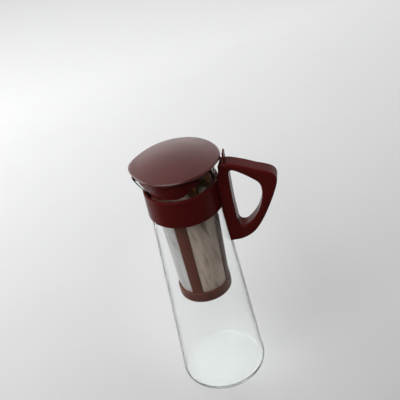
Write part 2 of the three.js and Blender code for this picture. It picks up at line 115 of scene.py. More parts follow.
# Glass, mesh and plastic, in metres
RIPPLE_FADE_HEIGHTS, RIPPLE_FADE = (0.23, 0.26), 0.75
MOUTH_HEIGHTS, MOUTH_SIDES = (0.24, 0.262), (0.028, 0.037)  # where the mouth's part starts and where it ends
LIP_HEIGHTS = (0.2825, 0.2833)
# The glass lip's dark brown is painted shade and a painted reflection of the brown lid above it.
GLASS_TINT, LIP_PAINTED_SHADE, CLEAR_TINT, GLASS_IOR = (0.99, 1.0, 0.995), (0.45, 0.27, 0.25), (0.985, 0.992, 0.988), 1.45
THREAD_PITCH, THREAD_HEIGHT = 0.0003, 0.00006
BROWNED_MESH = (0.27, 0.20, 0.155), (0.80, 0.665, 0.555)  # between and in the pale patches, which are partly painted light on the folds
# Paler, greyer mesh colours for the spout's side: painted light from that side.
LIT_SIDE_MESH = (0.42, 0.42, 0.43), (0.76, 0.76, 0.77)
# The first is a darker brown painted on the mesh as shade at the top of its back.
PAINTED_SHADE_MESH, MESH_GLOW = (0.135, 0.078, 0.026), (0.62, 0.55, 0.49)
PAINTED_SHADE_HEIGHTS, PAINTED_SHADE_SIDES = (0.205, 0.23), (-0.01, 0.012)  # where the mesh is painted darkest, as painted shade
INNER_LIGHT_FOOT, INNER_LIGHT_RADIUS = 0.223, 0.0302  # the cage is painted lighter above the one and inside the other, as painted light
POLISH = 0.16  # how much smoother the polished part of a plastic is

# Floor, light and camera
FLOOR_HALF, FLOOR_DROP = 3000, 0.3
FLOOR_DARK, FLOOR_PALE = (0.01, 0.005, 0.0), (0.98, 0.985, 0.99)
FLOOR_LEVEL, FLOOR_BEHIND, FLOOR_BESIDE, FLOOR_SHADE, FLOOR_MOTTLE = 0.58, 0.42, 0.08, 0.06, 0.03
ROOM_FLOOR, ROOM_EDGE, ROOM_SLANT = (0.15, 0.147, 0.145), (-0.22, -0.07), 0.31  # the dark part in front, painted shade for a dim room
SHADOW_MIDDLE, SHADOW_SIZE, SHADOW_SQUEEZE = 0.15, 0.06, 2.5  # the strainer's shadow, lightened a little by painted light
WORLD_BACK, WORLD_FRONT, WORLD_TOP = 1.55, 0.09, 0.42  # the last two as shares of the first
WORLD_DEPTHS, WORLD_HEIGHTS = (-0.7, 0.6), (0.05, 0.9)  # over which it goes from front to back and to the top
LAMPS = {  # each one's place, the point that it faces, its width and its power in watts
    "key": ((-0.7, -1.3, 2.15), (0, 0.1, 0.1), 2.1, 40),
    "window": ((-1.6, 0.25, 1.05), (0, 0, 0.2), 1.1, 10),
}
VIEW_TURN, VIEW_RISE, VIEW_LEAN, VIEW_DISTANCE = 14, 33.67, 13.43, 0.708
PICTURE_WIDTH, FOCAL_LENGTH = 400, 700  # both in pixels
SENSOR_WIDTH = 36
BAND_TOP_PIXEL = (179.98, 181.32)  # where the picture has the middle of the band's upper edge


# Lines and curves


def mix(a, b, t):
    """The value t of the way from a to b."""
    return a + (b - a) * t


def ease(t):
    """t held between 0 and 1 and eased at both ends: 3 t squared less 2 t cubed."""
    t = np.clip(t, 0, 1)
    return t * t * (3 - 2 * t)


def line(start, end, steps):
    """Points evenly spaced from start to end, both included."""
    return np.linspace(np.array(start, float), np.array(end, float), steps + 1)


def arc(centre, radius, start, end, steps=8):
    """Points of a circle about a centre, from one angle in degrees to another."""
    angle = np.radians(np.linspace(start, end, steps + 1))
    return np.array(centre) + radius * np.column_stack([np.cos(angle), np.sin(angle)])


def outline(*runs):
    """Joins runs of points into one line and drops a point that repeats the one before it."""
    points = np.vstack(runs)
    keep = np.r_[True, np.linalg.norm(np.diff(points, axis=0), axis=1) > SAME_POINT]
    return points[keep]


def spline(knots, steps=24):
    """A smooth line through all the knots: between two knots, the cubic whose slope at each is half the step
    from the knot before it to the knot after it."""
    knots = np.array(knots, float)
    wide = np.vstack([knots[:1], knots, knots[-1:]])
    before, here, there, after = (wide[i : len(knots) - 1 + i, None] for i in range(4))
    t = np.linspace(0, 1, steps, endpoint=False)[None, :, None]
    leave, reach = (there - before) / 2, (after - here) / 2
    cubic = here + leave * t + (3 * (there - here) - 2 * leave - reach) * t**2
    cubic = cubic + (2 * (here - there) + leave + reach) * t**3
    return np.vstack([cubic.reshape(-1, 2), knots[-1:]])


def apart(a, b):
    """How far two angles lie apart, from 0 to half a turn."""
    return np.abs(np.arctan2(np.sin(a - b), np.cos(a - b)))


def bell(angle, middle, spread):
    """1 at the middle angle, fading to each side as e to the minus square of the angle over the spread."""
    return np.exp(-((apart(angle, middle) / spread) ** 2))


# Surfaces: each is its points and a list of its faces


def lattice(points, close_rows=False, close_columns=False):
    """Four-sided faces over a grid of points, pointing along the column direction crossed with the row
    direction, with the last row or column joined to the first where asked."""
    rows, columns = points.shape[:2]
    index = np.arange(rows * columns).reshape(rows, columns)
    if close_rows:
        index = np.vstack([index, index[:1]])
    if close_columns:
        index = np.hstack([index, index[:, :1]])
    corners = [index[:-1, :-1], index[:-1, 1:], index[1:, 1:], index[1:, :-1]]
    return points.reshape(-1, 3), np.stack([c.ravel() for c in corners], 1).tolist()


def joined(*surfaces):
    """Several surfaces as one."""
    points, faces, count = [], [], 0
    for own_points, own_faces in surfaces:
        faces += [[corner + count for corner in face] for face in own_faces]
        points.append(own_points)
        count += len(own_points)
    return np.vstack(points), faces


def around(profile, angle, warp=None):
    """The point at each profile row's radius and height and at each angle, moved by the warp."""
    radius, angle = np.broadcast_arrays(profile[:, :1], angle[None, :])
    height = np.broadcast_to(profile[:, 1:], radius.shape)
    if warp:
        radius, height = warp(radius, angle, height)
    return np.stack([radius * np.cos(angle), radius * np.sin(angle), height], 2)


def turned(profile, warp=None):
    """A profile of radius and height turned about Z. It closes on itself, or starts and ends on the axis, where
    one point with a fan of faces closes each pole."""
    points = around(profile, np.linspace(0, 2 * np.pi, ROUND, endpoint=False), warp)
    if profile[0, 0] > 0:
        return lattice(points, True, True)
    body, faces = lattice(points[1:-1], close_columns=True)
    first, last = len(body), len(body) + 1
    ring = np.arange(ROUND)
    following = np.roll(ring, -1)
    top = len(body) - ROUND
    faces += np.stack([np.full(ROUND, first), following, ring], 1).tolist()
    faces += np.stack([top + ring, top + following, np.full(ROUND, last)], 1).tolist()
    return np.vstack([body, points[0, :1], points[-1, :1]]), faces


def swept(profile, start, end, steps, warp=None):
    """A closed profile of radius and height carried about Z from one angle to another, with both ends shut."""
    points = around(profile, np.linspace(start, end, steps + 1), warp)
    body, faces = lattice(points, close_rows=True)
    ends = np.arange(len(profile)) * (steps + 1)
    return body, faces + [ends.tolist(), (ends + steps)[::-1].tolist()]


def rounded_block(low, high, radius):
    """A block with rounded edges: a ball's surface cut along its three middle planes, and each eighth moved to
    its own corner of the block. The point above each pole is a flat face."""
    low, high = np.array(low, float), np.array(high, float)
    count = 7
    quarter = np.radians(np.linspace(0, 90, count))
    turn = np.concatenate([quarter + k * np.pi / 2 for k in range(4)])
    rise = np.concatenate([quarter - np.pi / 2, quarter])
    side = np.repeat([[1, 1], [-1, 1], [-1, -1], [1, -1]], count, axis=0)
    lift = np.repeat([-1, 1], count)
    shape = (len(rise), len(turn))
    ball = [np.outer(np.cos(rise), np.cos(turn)), np.outer(np.cos(rise), np.sin(turn))]
    ball = np.stack(ball + [np.broadcast_to(np.sin(rise)[:, None], shape)], 2)
    eighth = np.stack([np.broadcast_to(v, shape) for v in (side[:, 0], side[:, 1], lift[:, None])], 2)
    points = (low + high) / 2 + ((high - low) / 2 - radius) * eighth + radius * ball
    body, faces = lattice(points, close_columns=True)
    last = len(body) - shape[1]
    return body, faces + [list(range(shape[1]))[::-1], list(range(last, len(body)))]


def holed_plate(low, high, centre, radius, near, far):
    """A plate between two Y planes with a round hole: rays from the hole's centre cross the hole's edge and the
    plate's rectangular edge, and the surface runs over both faces and both edges."""
    corners = np.array([[x, z] for x in (low[0], high[0]) for z in (low[1], high[1])]) - centre
    even = np.linspace(-np.pi, np.pi, 64, endpoint=False)
    angle = np.sort(np.r_[even, np.arctan2(*corners.T[::-1])])
    way = np.column_stack([np.cos(angle), np.sin(angle)])
    reach = np.where(way > 0, np.array(high) - centre, np.array(low) - centre)
    far_edge = way * np.abs(reach / np.where(np.abs(way) < TINY, TINY, way)).min(1)[:, None]
    rings = [(far_edge, near), (far_edge, far), (way * radius, far), (way * radius, near)]
    rows = [np.column_stack([p[:, 0] + centre[0], np.full(len(p), y), p[:, 1] + centre[1]]) for p, y in rings]
    return lattice(np.stack(rows)[::-1], True, True)


# Jug


def jug_radius(z):
    """The glass's outer radius: straight from the heel to the shoulder, eased in to the waist under the band,
    and eased out from there to the rim."""
    z = np.asarray(z, float)
    mouth = mix(WAIST_RADIUS, RIM_RADIUS, ease((z - WAIST) / (RIM - WAIST)))
    neck = mix(SHOULDER_RADIUS, WAIST_RADIUS, ease((z - SHOULDER) / (WAIST - SHOULDER)))
    body = mix(BASE_RADIUS, SHOULDER_RADIUS, (z - HEEL_RADIUS) / (SHOULDER - HEEL_RADIUS))
    return np.where(z >= WAIST, mouth, np.where(z >= SHOULDER, neck, body))


def jug_wall(inset, start, end, steps):
    """Points of the glass's outer wall, or of one that lies further in by an inset."""
    z = np.linspace(start, end, steps + 1)
    return np.column_stack([jug_radius(z) - inset, z])


def spout_share(z):
    """The share of the spout's height at which a height lies."""
    return np.clip((z - SPOUT_ROOT) / (RIM - SPOUT_ROOT), 0, 1)


def spout_pull(angle, z):
    """How far the spout stands out of the round mouth: a bell over the angle, reached early in its height."""
    return SPOUT_REACH * bell(angle, np.pi, SPOUT_SPREAD) * (1 - (1 - spout_share(z)) ** SPOUT_CURVE)


def pull_spout(radius, angle, z):
    """Pulls the spout out of the mouth, and down by the same bell over the angle, late in its height."""
    dip = SPOUT_DIP * bell(angle, np.pi, SPOUT_SPREAD) * spout_share(z) ** SPOUT_CURVE
    return radius + spout_pull(angle, z), z - dip


def jug_surface():
    """The jug's wall, outside up and inside down, with a rounded heel and rim and a flat foot."""
    lip, heel = GLASS_WALL / 2, HEEL_RADIUS - GLASS_WALL
    inner_heel = GLASS_FLOOR + heel
    profile = outline(
        line((0, 0), (BASE_RADIUS - HEEL_RADIUS, 0), 8),
        arc((BASE_RADIUS - HEEL_RADIUS, HEEL_RADIUS), HEEL_RADIUS, -90, 0, 20),
        jug_wall(0, HEEL_RADIUS, SHOULDER, 40),
        jug_wall(0, SHOULDER, WAIST, 20),
        jug_wall(0, WAIST, RIM - lip, 36),
        arc((jug_radius(RIM) - lip, RIM - lip), lip, 0, 180, 12),
        jug_wall(GLASS_WALL, RIM - lip, WAIST, 36),
        jug_wall(GLASS_WALL, WAIST, SHOULDER, 20),
        jug_wall(GLASS_WALL, SHOULDER, inner_heel, 40),
        arc((jug_radius(inner_heel) - GLASS_WALL - heel, inner_heel), heel, 0, -90, 16),
        line((jug_radius(inner_heel) - GLASS_WALL - heel, GLASS_FLOOR), (0, GLASS_FLOOR), 8),
    )
    return turned(profile, pull_spout)


# Neck band


def band_side(z):
    """The band's outer radius, straight from its foot to its upper edge."""
    return mix(BAND_FOOT_RADIUS, BAND_TOP_RADIUS, (z - BAND_FOOT) / (BAND_TOP - BAND_FOOT))


def band_surface():
    """The open ring, with rounded outer edges and its inside along the waist, and its two ears."""
    top, foot, inner = BAND_TOP_ROUNDING, BAND_FOOT_ROUNDING, BAND_INNER_ROUNDING
    profile = outline(
        arc((BAND_FOOT_RADIUS - foot, BAND_FOOT + foot), foot, -90, 0),
        line((BAND_FOOT_RADIUS, BAND_FOOT + foot), (BAND_TOP_RADIUS, BAND_TOP - top), 8),
        arc((BAND_TOP_RADIUS - top, BAND_TOP - top), top, 0, 90),
        arc((float(jug_radius(BAND_TOP)) + GAP + inner, BAND_TOP - inner), inner, 90, 180, 4),
        jug_wall(-GAP, BAND_TOP - inner, BAND_FOOT, 32),
    )
    half = np.arcsin(BAND_SPLIT / 2 / BAND_TOP_RADIUS)
    ring = swept(profile, half, 2 * np.pi - half, ROUND)
    low = (BAND_TOP_RADIUS - EAR_SINK, CLAMP_Z - EAR_HEIGHT / 2)
    high = (BAND_TOP_RADIUS + EAR_REACH, CLAMP_Z + EAR_HEIGHT / 2)
    near, far = BAND_SPLIT / 2, BAND_SPLIT / 2 + EAR_WALL
    sides = ((near, far), (-far, -near))
    ears = [holed_plate(low, high, (CLAMP_X, CLAMP_Z), EAR_HOLE, *side) for side in sides]
    return joined(ring, *ears)


# Handle

GRIP_OUTER_SHARES = [
    (0.238, 0.01), (0.366, 0.042), (0.508, 0.108), (0.641, 0.222), (0.75, 0.345), (0.878, 0.515),
    (0.972, 0.668), (1, 0.755), (0.958, 0.818), (0.843, 0.862), (0.675, 0.9), (0.495, 0.948),
    (0.295, 0.99), (0.18, 1),
]  # fmt: skip
GRIP_INNER_SHARES = [
    (0.234, 0.3), (0.244, 0.222), (0.293, 0.186), (0.39, 0.194), (0.533, 0.286), (0.639, 0.398),
    (0.708, 0.531), (0.728, 0.648), (0.697, 0.728), (0.606, 0.786), (0.473, 0.852), (0.318, 0.912),
    (0.253, 0.898), (0.233, 0.82), (0.226, 0.531), (0.234, 0.3),
]  # fmt: skip


def handle_places(shares):
    """Places of the handle's side view, from shares of its reach and of its height."""
    shares = np.array(shares)
    x = mix(HANDLE_INNER, HANDLE_OUTER, shares[:, 0])
    return np.column_stack([x, mix(HANDLE_FOOT, HANDLE_TOP, shares[:, 1])])


def evenly(points, spacing):
    """The same closed line with its points at an even spacing along it."""
    loop = np.vstack([points, points[:1]])
    along = np.r_[0, np.cumsum(np.linalg.norm(np.diff(loop, axis=0), axis=1))]
    places = np.linspace(0, along[-1], int(along[-1] / spacing), endpoint=False)
    return np.column_stack([np.interp(places, along, loop[:, i]) for i in (0, 1)])


def softened(points, steps, times):
    """A closed line with its corners rounded: each point becomes the mean of those a few steps to its sides."""
    for _ in range(times):
        points = sum(np.roll(points, k, axis=0) for k in range(-steps, steps + 1)) / (2 * steps + 1)
    return points


def outwards_of(points):
    """The direction out of a closed line that runs anticlockwise, at each of its points."""
    along = np.roll(points, -1, axis=0) - np.roll(points, 1, axis=0)
    out = np.column_stack([along[:, 1], -along[:, 0]])
    return out / np.linalg.norm(out, axis=1, keepdims=True)


def ray_lengths(points, centre, angle):
    """How far from a centre a closed line lies along each angle."""
    offset = points - centre
    own = np.arctan2(offset[:, 1], offset[:, 0])
    order = np.argsort(own)
    return np.interp(angle, own[order], np.linalg.norm(offset, axis=1)[order], period=2 * np.pi)


def handle_clearance(z):
    """The radius that the handle leaves free: the glass beside its bar with a gap, then the band, and above it a
    curve that turns away from the flared mouth."""
    z = np.asarray(z, float)
    share = np.clip((z - BAND_TOP - GAP) / (HANDLE_TOP - BAND_TOP - GAP), 0, 1)
    root = mix(BAND_TOP_RADIUS + GAP, RIM_RADIUS + ROOT_SET_BACK, 1 - (1 - share) ** ROOT_CURVE)
    bar = jug_radius(z) + GLASS_GAP
    past_band = ease((z - BAND_STEP[0]) / (BAND_STEP[1] - BAND_STEP[0]))
    return np.where(z > BAND_TOP + GAP, root, mix(bar, np.maximum(bar, band_side(z) + GAP), past_band))


def handle_outlines():
    """The handle's outer and inner side views, as closed lines about one centre that are matched ray by ray."""
    z = np.linspace(HANDLE_TOP, HANDLE_FOOT, 200)
    foot = (float(handle_clearance(HANDLE_FOOT)), HANDLE_FOOT)
    outer = outline(
        line(foot, handle_places(GRIP_OUTER_SHARES[:1])[0], 12),
        spline(handle_places(GRIP_OUTER_SHARES)),
        np.column_stack([handle_clearance(z), z]),
    )
    outer = softened(evenly(outer[:-1], OUTLINE_SPACING), 2, 3)
    offset = outer - LOOP_CENTRE
    angle = np.unwrap(np.arctan2(offset[:, 1], offset[:, 0]))
    inner = spline(handle_places(GRIP_INNER_SHARES))[:-1]
    reach = ray_lengths(softened(evenly(inner, OUTLINE_SPACING), 3, 2), LOOP_CENTRE, angle)
    return outer, LOOP_CENTRE + reach[:, None] * np.column_stack([np.cos(angle), np.sin(angle)])


def edge_columns(points, into, side, rounding):
    """Columns over an edge of the handle from one side to the other, with a quarter circle at both. Each is the
    side view moved into the handle, and its distance from the middle plane."""
    half = HANDLE_WIDTH / 2
    quarter = np.radians(np.linspace(0, 90, 7))
    columns = [(rounding * (1 - np.sin(c)), rounding - half - rounding * np.cos(c)) for c in quarter]
    columns += [(0 * rounding, (half - rounding) * share) for share in np.linspace(-1, 1, 10)[1:-1]]
    columns += [(rounding * (1 - np.cos(c)), half - rounding + rounding * np.sin(c)) for c in quarter]
    return [(points + into * inset[:, None], y * side) for inset, y in columns]


def side_columns(start, end):
    """Columns over a side of the handle from one edge to the other. The side swells by the crown."""
    shares = np.linspace(0, 1, 8)[1:-1]
    swell = np.sign(start[1])
    return [(mix(start[0], end[0], s), start[1] + swell * HANDLE_CROWN * (1 - (2 * s - 1) ** 2)) for s in shares]


def handle_surface():
    """The loop handle with its thumb fin. The surface runs over the outer edge, one side, the inner edge and the
    other side, and is bent round the glass and the band where it stands by the jug."""
    outer, inner = handle_outlines()
    beside_glass = 1 - ease((outer[:, 0] - handle_clearance(outer[:, 1])) / BAR_FADE)
    rounding = mix(HANDLE_ROUNDING, BAR_ROUNDING, beside_glass)
    outer_edge = edge_columns(outer, -outwards_of(outer), 1, rounding)
    inner_edge = edge_columns(inner, outwards_of(inner), -1, np.full(len(inner), HANDLE_ROUNDING))
    columns = outer_edge + side_columns(outer_edge[-1], inner_edge[0])
    columns += inner_edge + side_columns(inner_edge[-1], outer_edge[0])
    points = np.stack([np.column_stack([p[:, 0], y, p[:, 1]]) for p, y in columns], 1)
    points[..., 1] *= HANDLE_WIDTH / 2 / np.abs(points[..., 1]).max()
    x, y, z = np.moveaxis(points, 2, 0)
    face = handle_clearance(z)
    bend = face - np.sqrt(face**2 - y**2)
    points[..., 0] = x - bend * (1 - ease((x - face) / BEND_FADE))
    fin_low = (FIN_START, -FIN_WIDTH / 2, HANDLE_TOP - FIN_SINK)
    fin_high = (FIN_END, FIN_WIDTH / 2, HANDLE_TOP + FIN_RISE)
    return joined(lattice(points, True, True), rounded_block(fin_low, fin_high, FIN_ROUNDING))


# Lid


def draw_lid_tips(radius, angle, z):
    """Draws the round edge out to a soft tip over the spout, and a little towards the handle."""
    front = LID_FRONT * bell(angle, np.pi, LID_SPREAD)
    back = LID_BACK * bell(angle, 0, LID_SPREAD)
    share = np.clip((radius - NECK_RADIUS) / (LID_RADIUS - NECK_RADIUS), 0, 1)
    return radius + (front + back) * share**2, z


def dome(radius, edge, rise):
    """The height of a shallow dome over its edge: the rise times one less the square of the radius's share."""
    return rise * (1 - (radius / edge) ** 2)


def lid_underside(radius):
    """The height of the cover's underside."""
    return LID_EDGE + dome(radius, LID_RADIUS - LID_WALL, LID_RISE + LID_RIM - LID_WALL)


def cover_surface():
    """The domed cover with its thin rim and the bright bevel round it, a ring underneath that locates it in the
    skirt, and its lug. The bevel is a small arc at the rim and a wide, flat one up to the dome."""
    rim_top, edge = LID_EDGE + LID_RIM, LID_RADIUS - BEVEL_WIDTH
    inner_edge = LID_RADIUS - LID_WALL
    ring_outer = NECK_RADIUS - SKIRT_WALL - GAP
    ring_inner = ring_outer - LID_RING_WALL

    def under(start, end, steps):
        """Points along the cover's underside."""
        radius = np.linspace(start, end, steps + 1)
        return np.column_stack([radius, lid_underside(radius)])

    ring_foot = lid_underside(ring_outer) - LID_RING_DEPTH
    chamfer, foot = LID_RING_CHAMFER, LID_FOOT_ROUNDING
    top = np.linspace(edge, 0, 60)
    profile = outline(
        under(0, ring_inner, 16),
        line((ring_inner, ring_foot + chamfer), (ring_inner + chamfer, ring_foot), 1),
        line((ring_outer - chamfer, ring_foot), (ring_outer, ring_foot + chamfer), 1),
        under(ring_outer, inner_edge, 10),
        arc((LID_RADIUS - foot, LID_EDGE + foot), foot, -90, 0, 5),
        *(arc((LID_RADIUS - inset, rim_top - drop), *turn) for inset, drop, *turn in BEVEL_ARCS),
        np.column_stack([top, rim_top + dome(top, edge, LID_RISE)])[1:],
    )
    end = LID_RADIUS + LID_BACK - LUG_SET_BACK
    low = (end - LUG_LENGTH, -LUG_WIDTH / 2, LID_EDGE - LUG_DEPTH)
    lug = rounded_block(low, (end, LUG_WIDTH / 2, LID_EDGE + LUG_RISE), LUG_ROUNDING)
    return joined(turned(profile, draw_lid_tips), lug)


def skirt_radius(z):
    """The skirt's outer radius, which follows the inside of the mouth."""
    return jug_radius(z) - GLASS_WALL - SKIRT_CLEARANCE


def skirt_surface():
    """The ring that plugs the mouth: a flange on the rim with a neck under the cover, and a wall whose depth
    eases from full under the spout to about a quarter at the handle. The wall swells into the spout, draws back
    in under the flange, and is open in a slot at the spout's middle."""
    flange_foot, flange_top = RIM + GAP, RIM + GAP + FLANGE_HEIGHT
    neck_inner = NECK_RADIUS - SKIRT_WALL
    neck_top = lid_underside(NECK_RADIUS) - GAP
    top, low, chamfer = FLANGE_ROUNDING, FLANGE_CHAMFER, NECK_CHAMFER
    head = turned(outline(
        line((neck_inner, flange_foot), (RIM_RADIUS - low, flange_foot), 4),
        line((RIM_RADIUS, flange_foot + low), (RIM_RADIUS, flange_top - top), 2),
        arc((RIM_RADIUS - top, flange_top - top), top, 0, 90, 5),
        line((NECK_RADIUS, flange_top), (NECK_RADIUS, neck_top - chamfer), 4),
        line((NECK_RADIUS - chamfer, neck_top), (neck_inner + chamfer, neck_top), 2),
        line((neck_inner, neck_top - chamfer), (neck_inner, flange_foot + NECK_FOOT_STEP), 4),
    ))  # fmt: skip
    foot = SKIRT_FOOT_ROUNDING
    z = np.linspace(SKIRT_FOOT + foot, flange_foot + SKIRT_OVERLAP, 40)
    outer = np.column_stack([skirt_radius(z), z])
    middle = float(skirt_radius(SKIRT_FOOT)) - SKIRT_WALL / 2
    wall = outline(outer, outer[::-1] - (SKIRT_WALL, 0), arc((middle, SKIRT_FOOT + foot), foot, 180, 350, 6))

    def shape_wall(radius, angle, z):
        """Squeezes the wall upwards by an eased share of its depth, and moves it so that it still follows the
        mouth and, by a share of the spout's pull that fades towards the rim, the spout."""
        depth = mix(1, SKIRT_BACK_SHARE, ease((apart(angle, np.pi) - SKIRT_FULL) / SKIRT_FADE))
        height = flange_foot - (flange_foot - z) * depth
        belly = SKIRT_BELLY * spout_pull(angle, height) * (1 - spout_share(height) ** SKIRT_CURVE)
        return radius + skirt_radius(height) - skirt_radius(z) + belly, height

    return joined(head, swept(wall, POUR_SLOT - np.pi, np.pi - POUR_SLOT, ROUND, shape_wall))


# Strainer


def strainer_radius(z):
    """The outer radius of the strainer's tapered wall."""
    return mix(STRAINER_FOOT_RADIUS, STRAINER_TOP_RADIUS, (z - STRAINER_FOOT) / (WINDOW_TOP - STRAINER_FOOT))


def collar_surface():
    """The strainer's collar: a conical flange that sits in the jug's waist, above a straight ring."""
    flange_foot, low, top = STRAINER_TOP - FLANGE_DEPTH, SEAT_CHAMFER, COLLAR_CHAMFER
    seat = [(float(jug_radius(z)) - GLASS_WALL - GAP, z) for z in (flange_foot + low, STRAINER_TOP - top)]
    inner, foot = STRAINER_TOP_RADIUS - STRAINER_WALL, COLLAR_ROUNDING
    return turned(outline(
        arc((STRAINER_TOP_RADIUS - foot, WINDOW_TOP + foot), foot, -90, 0, 4),
        line((STRAINER_TOP_RADIUS, WINDOW_TOP + 1), (STRAINER_TOP_RADIUS, flange_foot), 4),
        [(seat[0][0] - low, flange_foot)], seat, [(seat[1][0] - top, STRAINER_TOP)],
        [(inner + top, STRAINER_TOP), (inner, STRAINER_TOP - top)],
        line((inner, STRAINER_TOP - 1), (inner, WINDOW_TOP + foot), 6),
        arc((inner + foot, WINDOW_TOP + foot), foot, 180, 270, 4),
    ))  # fmt: skip


def cup_surface():
    """The strainer's foot: a closed floor with a rounded lower edge and a low wall with a bead."""
    bead = strainer_radius(WINDOW_FOOT) + BEAD_STEP
    floor = STRAINER_FOOT + CUP_FLOOR
    inner = strainer_radius(floor) - STRAINER_WALL
    low, top, lip, corner = CUP_ROUNDING, BEAD_ROUNDING, CUP_LIP, CUP_CORNER
    return turned(outline(
        line((0, STRAINER_FOOT), (bead - low, STRAINER_FOOT), 6),
        arc((bead - low, STRAINER_FOOT + low), low, -90, 0, 12),
        line((bead, STRAINER_FOOT + CUP_SIDE_FOOT), (bead, WINDOW_FOOT - CUP_SIDE_TOP), 3),
        arc((bead - top, WINDOW_FOOT - top), top, 0, 90, 6),
        arc((inner + lip, WINDOW_FOOT - lip), lip, 90, 180, 4),
        arc((inner - corner, floor + corner), corner, 0, -90, 6),
        line((inner - 1, floor), (0, floor), 6),
    ))  # fmt: skip


def rib_surface(middle):
    """One rib: a rounded strip that follows the tapered wall, and widens in a quarter circle at each end, so
    that the windows have round corners."""
    z = np.linspace(WINDOW_FOOT - RIB_OVERLAP, WINDOW_TOP + RIB_OVERLAP, 140)
    near = np.clip(np.minimum(z - WINDOW_FOOT, WINDOW_TOP - z), 0, WINDOW_CORNER)
    half = RIB_WIDTH / 2 + WINDOW_CORNER - np.sqrt(WINDOW_CORNER**2 - (WINDOW_CORNER - near) ** 2)
    across = np.linspace(-1, 1, 17)[1:-1]
    quarter = np.radians(np.linspace(0, 90, 5))
    fall = RIB_ROUNDING * (1 - np.cos(quarter))
    trim = RIB_ROUNDING * (1 - np.sin(quarter))
    edge_inset = np.r_[fall, STRAINER_WALL - fall[::-1]]
    edge_trim = np.r_[trim, trim[::-1]]
    flat, edge = np.zeros(len(across)), np.ones(len(edge_trim))
    inset = np.r_[flat, edge_inset, flat + STRAINER_WALL, edge_inset[::-1]]
    side = np.r_[across, edge, across[::-1], -edge]
    trim = np.r_[flat, edge_trim, flat, edge_trim]
    radius = strainer_radius(z)[:, None] - RIB_SINK - inset[None, :]
    reach = half[:, None] * side[None, :] - np.sign(side)[None, :] * trim[None, :]
    angle = middle + reach / STRAINER_FOOT_RADIUS
    points = np.stack([radius * np.cos(angle), radius * np.sin(angle), np.broadcast_to(z[:, None], radius.shape)], 2)
    body, faces = lattice(points, close_columns=True)
    count = points.shape[1]
    return body, faces + [list(range(count))[::-1], list(range(len(body) - count, len(body)))]


def panel_surface(middle):
    """One mesh panel: a thin curved sheet behind the ribs, which bellies out through its window in a few slack
    folds that run mostly up and down and die out at its edges."""
    low, high = WINDOW_FOOT - MESH_LAP, WINDOW_TOP + MESH_LAP
    half = np.pi / RIBS - np.arcsin(RIB_WIDTH / 2 / STRAINER_FOOT_RADIUS) + MESH_LAP / STRAINER_FOOT_RADIUS
    z = np.linspace(low, high, 120)
    outer = np.minimum(strainer_radius(z), STRAINER_TOP_RADIUS) - STRAINER_WALL - GAP
    outer = np.column_stack([outer, z])
    profile = np.vstack([outer, outer[::-1] - (MESH_THICKNESS, 0)])

    def slacken(radius, angle, z):
        """Moves the sheet out by a sum of sines of the angle and the height, times a fade at all four edges."""
        across, up = (angle - middle) / half, (z - low) / (high - low)
        fade = ease((1 - np.abs(across)) * MESH_SIDE_FADE) * ease((1 - np.abs(2 * up - 1)) * MESH_END_FADE)
        phase = middle * MESH_PHASE
        fold = sum(height * np.sin(a * across + b * up + c * phase) for height, a, b, c in MESH_WAVES)
        return radius + fade * (MESH_BOW + MESH_FOLD * fold), z

    return swept(profile, middle - half, middle + half, 96, slacken)


def plug_surface():
    """The screw's cap: a low disc with a soft edge and a shallow dish, turned about the screw's axis."""
    top = HANDLE_WIDTH / 2
    foot, chamfer, soft = top - PLUG_THICKNESS, PLUG_CHAMFER, PLUG_ROUNDING
    dish = np.linspace(DISH_RADIUS, 0, 12)
    profile = outline(
        line((0, foot), (PLUG_RADIUS - chamfer, foot), 4),
        line((PLUG_RADIUS, foot + chamfer), (PLUG_RADIUS, top - soft), 2),
        arc((PLUG_RADIUS - soft, top - soft), soft, 0, 90, 5),
        np.column_stack([dish, top - DISH_DEPTH * ease((DISH_RADIUS - dish) / DISH_SLOPE)]),
    )
    points, faces = turned(profile)
    x, y, z = points.T
    return np.column_stack([CLAMP_X + y, z, CLAMP_Z + x]), faces


# Materials


